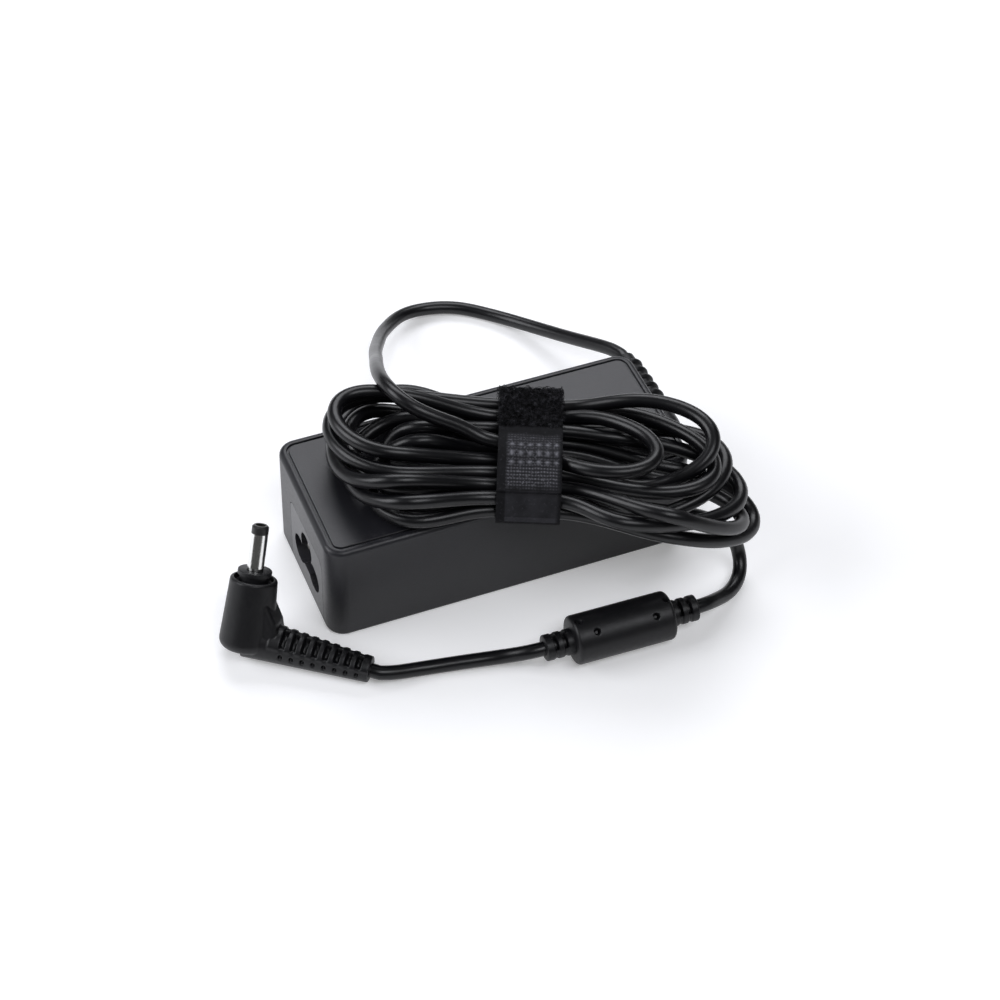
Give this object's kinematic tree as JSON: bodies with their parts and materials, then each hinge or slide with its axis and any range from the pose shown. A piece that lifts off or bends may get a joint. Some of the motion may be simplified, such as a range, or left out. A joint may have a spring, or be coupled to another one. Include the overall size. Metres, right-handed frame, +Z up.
{
  "type": "laptop power adapter",
  "caption": "Dark grey laptop power adapter with a three-pole inlet and its low voltage cord wound into a strapped hank on top, with a bead and a straight barrel plug.",
  "frame": {"origin": "middle of the housing's base, on the surface that the adapter stands on", "axes": "+X from the mains inlet to the end with the cord's relief, +Y away from the bead's side, +Z up"},
  "size_m": [0.131, 0.1329, 0.0506],
  "materials": {
    "housing": "fine grain, dark grey",
    "inlet_plastic": "moulded, dark grey",
    "plated_metal": "bright nickel plating",
    "cord_jacket": "smooth satin black",
    "moulding": "soft matte black",
    "strap_fabric": "woven with loop pile",
    "black_plastic": "smooth black",
    "ferrite": "fired, dull grey",
    "board": "solder resist",
    "sheet": "translucent film",
    "wire": "insulated wire",
    "winding_wire": "enamelled copper",
    "can": "shrink sleeve",
    "component_body": "moulded epoxy",
    "film_body": "moulded box",
    "disc_body": "dipped disc",
    "sink_metal": "plain sheet",
    "bobbin_plastic": "moulded"
  },
  "bodies": {
    "root": {"upper_housing": "housing", "bottom_cover": "housing", "inlet_insert": "inlet_plastic", "line_pin": "plated_metal", "neutral_pin": "plated_metal", "earth_pin": "plated_metal", "inlet_leads": "wire", "cord_strain_relief": "moulding", "cord_arch": "cord_jacket", "cord_hank": "cord_jacket", "cord_tail": "cord_jacket", "bead_shell": "moulding", "bead_core": "ferrite", "cord_lead": "cord_jacket", "plug_grip": "moulding", "plug_collar": "black_plastic", "plug_barrel": "plated_metal", "plug_insulator": "black_plastic", "plug_contact": "plated_metal", "strap_band": "strap_fabric", "circuit_board": "board", "insulation_sheet": "sheet", "fuse": "component_body", "thermistor": "disc_body", "x_capacitor": "film_body", "line_choke_core": "ferrite", "line_choke_winding": "winding_wire", "bridge_rectifier": "component_body", "bulk_capacitor": "can", "switch_transistor": "component_body", "primary_heat_sink": "sink_metal", "transformer_core": "ferrite", "transformer_bobbin": "bobbin_plastic", "transformer_winding": "winding_wire", "y_capacitor": "disc_body", "optocoupler": "bobbin_plastic", "control_chip": "component_body", "output_rectifier": "component_body", "secondary_heat_sink": "sink_metal", "output_capacitors": "can", "output_leads": "wire"},
    "strap_tab": {"strap_tab": "strap_fabric"}
  },
  "joints": [
    {"name": "strap_tab_peel", "type": "hinge", "parent": "root", "child": "strap_tab", "pos_m": [0.0036, -0.01856, 0.04326], "axis": [-0.9171, 0.3987, 0], "range_deg": [0, 100]}
  ]
}
